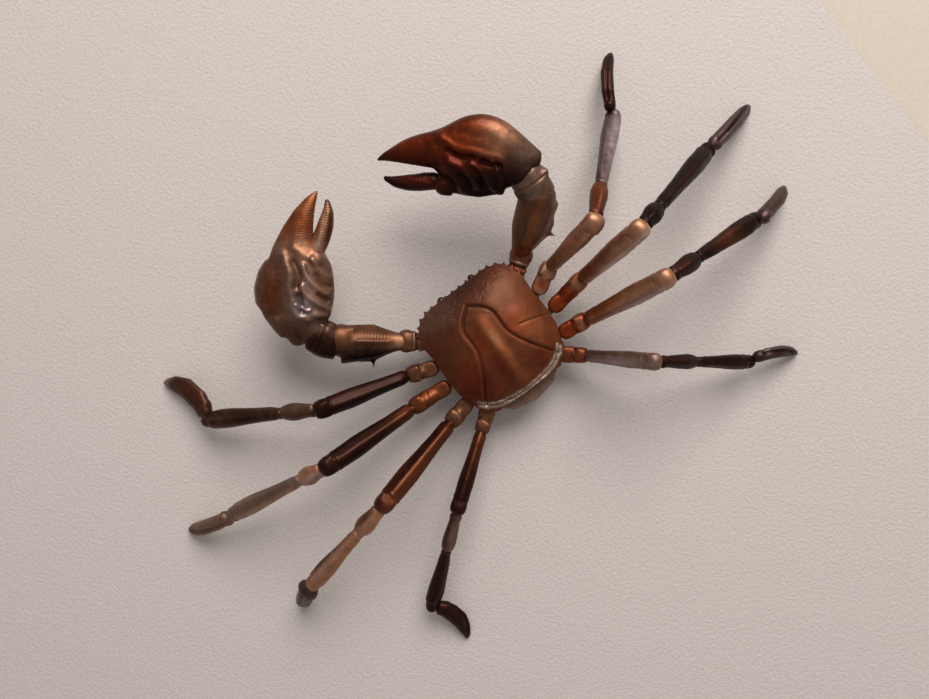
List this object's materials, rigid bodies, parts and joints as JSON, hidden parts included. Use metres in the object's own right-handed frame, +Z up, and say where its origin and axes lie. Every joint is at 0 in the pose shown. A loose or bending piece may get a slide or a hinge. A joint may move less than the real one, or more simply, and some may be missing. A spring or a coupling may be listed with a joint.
{
  "type": "articulated crab ornament",
  "caption": "Crab ornament of patinated copper whose legs, claws, eyes, mouth plates and tail flap turn on pins, standing on the tips of its legs.",
  "frame": {"origin": "centre of the overall box, on the ground that the leg tips stand on", "axes": "+X to the crab's left, +Y to its rear, +Z up"},
  "size_m": [0.1915, 0.1178, 0.0339],
  "materials": {
    "shell_copper": "glossy red-brown patina over copper alloy",
    "claw_copper": "glossy dark red-brown patina over copper alloy",
    "leg_copper": "glossy dark brown patina over copper alloy",
    "under_copper": "satin brown patina over copper alloy",
    "pin_copper": "bare brown copper alloy wire",
    "eye_black": "polished near-black patina over copper alloy"
  },
  "bodies": {
    "body": {"breastplate": "under_copper", "body_pins": "pin_copper", "shell": "shell_copper"},
    "tail_flap": {"tail_flap": "under_copper"},
    "left_eye": {"left_eye": "eye_black"},
    "right_eye": {"right_eye": "eye_black"},
    "left_mouth_plate": {"left_mouth_plate": "under_copper"},
    "right_mouth_plate": {"right_mouth_plate": "under_copper"},
    "left_claw_ischium": {"left_claw_ischium": "claw_copper"},
    "left_claw_merus": {"left_claw_merus": "claw_copper"},
    "left_claw_carpus": {"left_claw_carpus": "claw_copper"},
    "left_claw_palm": {"left_claw_palm": "claw_copper"},
    "left_claw_finger": {"left_claw_finger": "claw_copper"},
    "right_claw_ischium": {"right_claw_ischium": "claw_copper"},
    "right_claw_merus": {"right_claw_merus": "claw_copper"},
    "right_claw_carpus": {"right_claw_carpus": "claw_copper"},
    "right_claw_palm": {"right_claw_palm": "claw_copper"},
    "right_claw_finger": {"right_claw_finger": "claw_copper"},
    "left_leg1_ischium": {"left_leg1_ischium": "leg_copper"},
    "left_leg1_merus": {"left_leg1_merus": "leg_copper"},
    "left_leg1_carpus": {"left_leg1_carpus": "leg_copper"},
    "left_leg1_propodus": {"left_leg1_propodus": "leg_copper"},
    "left_leg1_dactyl": {"left_leg1_dactyl": "leg_copper"},
    "left_leg2_ischium": {"left_leg2_ischium": "leg_copper"},
    "left_leg2_merus": {"left_leg2_merus": "leg_copper"},
    "left_leg2_carpus": {"left_leg2_carpus": "leg_copper"},
    "left_leg2_propodus": {"left_leg2_propodus": "leg_copper"},
    "left_leg2_dactyl": {"left_leg2_dactyl": "leg_copper"},
    "left_leg3_ischium": {"left_leg3_ischium": "leg_copper"},
    "left_leg3_merus": {"left_leg3_merus": "leg_copper"},
    "left_leg3_carpus": {"left_leg3_carpus": "leg_copper"},
    "left_leg3_propodus": {"left_leg3_propodus": "leg_copper"},
    "left_leg3_dactyl": {"left_leg3_dactyl": "leg_copper"},
    "left_leg4_ischium": {"left_leg4_ischium": "leg_copper"},
    "left_leg4_merus": {"left_leg4_merus": "leg_copper"},
    "left_leg4_carpus": {"left_leg4_carpus": "leg_copper"},
    "left_leg4_propodus": {"left_leg4_propodus": "leg_copper"},
    "left_leg4_dactyl": {"left_leg4_dactyl": "leg_copper"},
    "right_leg1_ischium": {"right_leg1_ischium": "leg_copper"},
    "right_leg1_merus": {"right_leg1_merus": "leg_copper"},
    "right_leg1_carpus": {"right_leg1_carpus": "leg_copper"},
    "right_leg1_propodus": {"right_leg1_propodus": "leg_copper"},
    "right_leg1_dactyl": {"right_leg1_dactyl": "leg_copper"},
    "right_leg2_ischium": {"right_leg2_ischium": "leg_copper"},
    "right_leg2_merus": {"right_leg2_merus": "leg_copper"},
    "right_leg2_carpus": {"right_leg2_carpus": "leg_copper"},
    "right_leg2_propodus": {"right_leg2_propodus": "leg_copper"},
    "right_leg2_dactyl": {"right_leg2_dactyl": "leg_copper"},
    "right_leg3_ischium": {"right_leg3_ischium": "leg_copper"},
    "right_leg3_merus": {"right_leg3_merus": "leg_copper"},
    "right_leg3_carpus": {"right_leg3_carpus": "leg_copper"},
    "right_leg3_propodus": {"right_leg3_propodus": "leg_copper"},
    "right_leg3_dactyl": {"right_leg3_dactyl": "leg_copper"},
    "right_leg4_ischium": {"right_leg4_ischium": "leg_copper"},
    "right_leg4_merus": {"right_leg4_merus": "leg_copper"},
    "right_leg4_carpus": {"right_leg4_carpus": "leg_copper"},
    "right_leg4_propodus": {"right_leg4_propodus": "leg_copper"},
    "right_leg4_dactyl": {"right_leg4_dactyl": "leg_copper"}
  },
  "joints": [
    {"name": "left_claw_hip", "type": "hinge", "parent": "body", "child": "left_claw_ischium", "pos_m": [0.0078, -0.0136, 0.0082], "axis": [0, 0, 1], "range_deg": [-12, 14]},
    {"name": "left_claw_lift", "type": "hinge", "parent": "left_claw_ischium", "child": "left_claw_merus", "pos_m": [0.01169, -0.01664, 0.00898], "axis": [-0.6157, -0.788, 0], "range_deg": [-18, 26]},
    {"name": "left_claw_elbow", "type": "hinge", "parent": "left_claw_merus", "child": "left_claw_carpus", "pos_m": [0.02456, -0.02669, 0.01336], "axis": [0.204, -0.1593, -0.9659], "range_deg": [-15, 30]},
    {"name": "left_claw_wrist", "type": "hinge", "parent": "left_claw_carpus", "child": "left_claw_palm", "pos_m": [0.02854, -0.03323, 0.01528], "axis": [0.0401, -0.2589, -0.9651], "range_deg": [-37, 3]},
    {"name": "left_claw_pincer", "type": "hinge", "parent": "left_claw_palm", "child": "left_claw_finger", "pos_m": [0.01605, -0.04628, 0.01826], "axis": [0.0401, -0.2589, -0.9651], "range_deg": [-1.5, 22]},
    {"name": "right_claw_hip", "type": "hinge", "parent": "body", "child": "right_claw_ischium", "pos_m": [-0.0216, -0.0136, 0.0082], "axis": [0, 0, -1], "range_deg": [-12, 14]},
    {"name": "right_claw_lift", "type": "hinge", "parent": "right_claw_ischium", "child": "right_claw_merus", "pos_m": [-0.02563, -0.01642, 0.00907], "axis": [-0.5736, 0.8192, 0], "range_deg": [-38, 6]},
    {"name": "right_claw_elbow", "type": "hinge", "parent": "right_claw_merus", "child": "right_claw_carpus", "pos_m": [-0.03683, -0.02427, 0.019], "axis": [0.4815, 0.3371, 0.809], "range_deg": [-41, 4]},
    {"name": "right_claw_wrist", "type": "hinge", "parent": "right_claw_carpus", "child": "right_claw_palm", "pos_m": [-0.03721, -0.03147, 0.02223], "axis": [0.3057, 0.3758, 0.8748], "range_deg": [-19, 21]},
    {"name": "right_claw_pincer", "type": "hinge", "parent": "right_claw_palm", "child": "right_claw_finger", "pos_m": [-0.02093, -0.04083, 0.02056], "axis": [0.3057, 0.3758, 0.8748], "range_deg": [-1.5, 22]},
    {"name": "left_eye_fold", "type": "hinge", "parent": "body", "child": "left_eye", "pos_m": [-0.002, -0.017, 0.00905], "axis": [-1, 0, 0], "range_deg": [-35, 0]},
    {"name": "right_eye_fold", "type": "hinge", "parent": "body", "child": "right_eye", "pos_m": [-0.0118, -0.017, 0.00905], "axis": [-1, 0, 0], "range_deg": [-35, 0]},
    {"name": "tail_flap_swing", "type": "hinge", "parent": "body", "child": "tail_flap", "pos_m": [-0.0069, 0.0137, 0.00445], "axis": [-1, 0, 0], "range_deg": [-65, 0]},
    {"name": "left_mouth_swing", "type": "hinge", "parent": "body", "child": "left_mouth_plate", "pos_m": [-0.0047, -0.0117, 0.0056], "axis": [-1, 0, 0], "range_deg": [-40, 0]},
    {"name": "right_mouth_swing", "type": "hinge", "parent": "body", "child": "right_mouth_plate", "pos_m": [-0.0091, -0.0117, 0.0056], "axis": [-1, 0, 0], "range_deg": [-40, 0]},
    {"name": "left_leg1_hip", "type": "hinge", "parent": "body", "child": "left_leg1_ischium", "pos_m": [0.0106, -0.0069, 0.0085], "axis": [0, 0, 1], "range_deg": [-6, 12]},
    {"name": "left_leg1_lift", "type": "hinge", "parent": "left_leg1_ischium", "child": "left_leg1_merus", "pos_m": [0.01542, -0.00875, 0.00913], "axis": [-0.3756, -0.8905, 0.2569], "range_deg": [-33, 40]},
    {"name": "left_leg1_knee", "type": "hinge", "parent": "left_leg1_merus", "child": "left_leg1_carpus", "pos_m": [0.03767, -0.01511, 0.0196], "axis": [-0.3756, -0.8905, 0.2569], "range_deg": [-59.69, 46.31]},
    {"name": "left_leg1_swivel", "type": "hinge", "parent": "left_leg1_carpus", "child": "left_leg1_propodus", "pos_m": [0.04772, -0.02058, 0.01536], "axis": [0.8239, -0.4478, -0.3474], "range_deg": [-227, 9]},
    {"name": "left_leg1_toe", "type": "hinge", "parent": "left_leg1_propodus", "child": "left_leg1_dactyl", "pos_m": [0.06914, -0.03222, 0.00633], "axis": [-0.279, 0.2132, -0.9363], "range_deg": [-85, 18]},
    {"name": "left_leg3_hip", "type": "hinge", "parent": "body", "child": "left_leg3_ischium", "pos_m": [0.0093, 0.0061, 0.0085], "axis": [0, 0, 1], "range_deg": [-6, 12]},
    {"name": "left_leg3_lift", "type": "hinge", "parent": "left_leg3_ischium", "child": "left_leg3_merus", "pos_m": [0.01393, 0.00717, 0.00917], "axis": [0.2201, -0.9749, 0.0346], "range_deg": [-36, 37]},
    {"name": "left_leg3_knee", "type": "hinge", "parent": "left_leg3_merus", "child": "left_leg3_carpus", "pos_m": [0.03822, 0.01314, 0.02303], "axis": [0.2201, -0.9749, 0.0346], "range_deg": [-60.43, 45.57]},
    {"name": "left_leg3_swivel", "type": "hinge", "parent": "left_leg3_carpus", "child": "left_leg3_propodus", "pos_m": [0.04853, 0.01536, 0.01989], "axis": [0.9371, 0.2015, -0.2849], "range_deg": [-134, 102]},
    {"name": "left_leg3_toe", "type": "hinge", "parent": "left_leg3_propodus", "child": "left_leg3_dactyl", "pos_m": [0.06943, 0.01985, 0.01354], "axis": [0.1369, -0.9633, -0.2308], "range_deg": [-14, 89]},
    {"name": "left_leg2_hip", "type": "hinge", "parent": "body", "child": "left_leg2_ischium", "pos_m": [0.0112, -0.0008, 0.0085], "axis": [0, 0, 1], "range_deg": [-6, 12]},
    {"name": "left_leg2_lift", "type": "hinge", "parent": "left_leg2_ischium", "child": "left_leg2_merus", "pos_m": [0.01949, -0.00153, 0.00967], "axis": [-0.1012, -0.9895, 0.1035], "range_deg": [-35, 38]},
    {"name": "left_leg2_knee", "type": "hinge", "parent": "left_leg2_merus", "child": "left_leg2_carpus", "pos_m": [0.04421, -0.00268, 0.02276], "axis": [-0.1012, -0.9895, 0.1035], "range_deg": [-57.18, 48.82]},
    {"name": "left_leg2_swivel", "type": "hinge", "parent": "left_leg2_carpus", "child": "left_leg2_propodus", "pos_m": [0.05273, -0.00389, 0.01952], "axis": [0.9264, -0.1316, -0.3527], "range_deg": [-90, 146]},
    {"name": "left_leg2_toe", "type": "hinge", "parent": "left_leg2_propodus", "child": "left_leg2_dactyl", "pos_m": [0.07728, -0.00738, 0.01017], "axis": [0.0809, -0.8454, 0.528], "range_deg": [-37, 66]},
    {"name": "left_leg4_hip", "type": "hinge", "parent": "body", "child": "left_leg4_ischium", "pos_m": [0.0055, 0.0107, 0.0085], "axis": [0, 0, 1], "range_deg": [-6, 12]},
    {"name": "left_leg4_lift", "type": "hinge", "parent": "left_leg4_ischium", "child": "left_leg4_merus", "pos_m": [0.00908, 0.0134, 0.00889], "axis": [0.6039, -0.7963, -0.0348], "range_deg": [-24, 49]},
    {"name": "left_leg4_knee", "type": "hinge", "parent": "left_leg4_merus", "child": "left_leg4_carpus", "pos_m": [0.02581, 0.02586, 0.01409], "axis": [0.6039, -0.7963, -0.0348], "range_deg": [-76.76, 29.24]},
    {"name": "left_leg4_swivel", "type": "hinge", "parent": "left_leg4_carpus", "child": "left_leg4_propodus", "pos_m": [0.03589, 0.03365, 0.01063], "axis": [0.7633, 0.5903, -0.2626], "range_deg": [-12, 224]},
    {"name": "left_leg4_toe", "type": "hinge", "parent": "left_leg4_propodus", "child": "left_leg4_dactyl", "pos_m": [0.04985, 0.04445, 0.00582], "axis": [0.0543, 0.3464, 0.9365], "range_deg": [-100, 3]},
    {"name": "right_leg1_hip", "type": "hinge", "parent": "body", "child": "right_leg1_ischium", "pos_m": [-0.0244, -0.0069, 0.0085], "axis": [0, 0, -1], "range_deg": [-6, 12]},
    {"name": "right_leg1_lift", "type": "hinge", "parent": "right_leg1_ischium", "child": "right_leg1_merus", "pos_m": [-0.02896, -0.00932, 0.00913], "axis": [-0.4816, 0.8429, -0.2401], "range_deg": [-68, 5]},
    {"name": "right_leg1_knee", "type": "hinge", "parent": "right_leg1_merus", "child": "right_leg1_carpus", "pos_m": [-0.04254, -0.01099, 0.03053], "axis": [-0.4816, 0.8429, -0.2401], "range_deg": [-6.22, 99.78]},
    {"name": "right_leg1_swivel", "type": "hinge", "parent": "right_leg1_carpus", "child": "right_leg1_propodus", "pos_m": [-0.04978, -0.01727, 0.02299], "axis": [0.5934, 0.5152, 0.6184], "range_deg": [-170, 66]},
    {"name": "right_leg1_toe", "type": "hinge", "parent": "right_leg1_propodus", "child": "right_leg1_dactyl", "pos_m": [-0.06521, -0.03067, 0.00691], "axis": [-0.8047, 0.3966, 0.4418], "range_deg": [-67, 36]},
    {"name": "right_leg3_hip", "type": "hinge", "parent": "body", "child": "right_leg3_ischium", "pos_m": [-0.0231, 0.0061, 0.0085], "axis": [0, 0, -1], "range_deg": [-6, 12]},
    {"name": "right_leg3_lift", "type": "hinge", "parent": "right_leg3_ischium", "child": "right_leg3_merus", "pos_m": [-0.02786, 0.0066, 0.00892], "axis": [0.103, 0.9945, -0.0174], "range_deg": [-55, 18]},
    {"name": "right_leg3_knee", "type": "hinge", "parent": "right_leg3_merus", "child": "right_leg3_carpus", "pos_m": [-0.04793, 0.00903, 0.02914], "axis": [0.103, 0.9945, -0.0174], "range_deg": [-29.67, 76.33]},
    {"name": "right_leg3_swivel", "type": "hinge", "parent": "right_leg3_carpus", "child": "right_leg3_propodus", "pos_m": [-0.05729, 0.0099, 0.02342], "axis": [0.8506, -0.079, 0.5198], "range_deg": [-70, 166]},
    {"name": "right_leg3_toe", "type": "hinge", "parent": "right_leg3_propodus", "child": "right_leg3_dactyl", "pos_m": [-0.07626, 0.01166, 0.01183], "axis": [0.4521, 0.6147, -0.6463], "range_deg": [-33, 70]},
    {"name": "right_leg2_hip", "type": "hinge", "parent": "body", "child": "right_leg2_ischium", "pos_m": [-0.025, -0.0008, 0.0085], "axis": [0, 0, -1], "range_deg": [-6, 12]},
    {"name": "right_leg2_lift", "type": "hinge", "parent": "right_leg2_ischium", "child": "right_leg2_merus", "pos_m": [-0.03328, -0.00211, 0.00909], "axis": [-0.1598, 0.9858, -0.0522], "range_deg": [-66, 7]},
    {"name": "right_leg2_knee", "type": "hinge", "parent": "right_leg2_merus", "child": "right_leg2_carpus", "pos_m": [-0.04932, -0.0035, 0.03199], "axis": [-0.1598, 0.9858, -0.0522], "range_deg": [-14.66, 91.34]},
    {"name": "right_leg2_swivel", "type": "hinge", "parent": "right_leg2_carpus", "child": "right_leg2_propodus", "pos_m": [-0.05659, -0.00497, 0.02655], "axis": [0.7902, 0.1595, 0.5917], "range_deg": [-110, 126]},
    {"name": "right_leg2_toe", "type": "hinge", "parent": "right_leg2_propodus", "child": "right_leg2_dactyl", "pos_m": [-0.07753, -0.00919, 0.01087], "axis": [-0.0759, 0.9836, -0.1637], "range_deg": [-52, 51]},
    {"name": "right_leg4_hip", "type": "hinge", "parent": "body", "child": "right_leg4_ischium", "pos_m": [-0.0193, 0.0107, 0.0085], "axis": [0, 0, -1], "range_deg": [-6, 12]},
    {"name": "right_leg4_lift", "type": "hinge", "parent": "right_leg4_ischium", "child": "right_leg4_merus", "pos_m": [-0.02275, 0.0135, 0.0092], "axis": [0.6293, 0.7771, 0], "range_deg": [-48, 25]},
    {"name": "right_leg4_knee", "type": "hinge", "parent": "right_leg4_merus", "child": "right_leg4_carpus", "pos_m": [-0.03517, 0.02355, 0.02359], "axis": [0.6293, 0.7771, 0], "range_deg": [-30.89, 75.11]},
    {"name": "right_leg4_swivel", "type": "hinge", "parent": "right_leg4_carpus", "child": "right_leg4_propodus", "pos_m": [-0.04376, 0.03051, 0.01638], "axis": [0.651, -0.5272, 0.5462], "range_deg": [-160, 76]},
    {"name": "right_leg4_toe", "type": "hinge", "parent": "right_leg4_propodus", "child": "right_leg4_dactyl", "pos_m": [-0.05568, 0.04016, 0.00638], "axis": [0.1836, 0.8075, 0.5605], "range_deg": [-59, 44]}
  ]
}
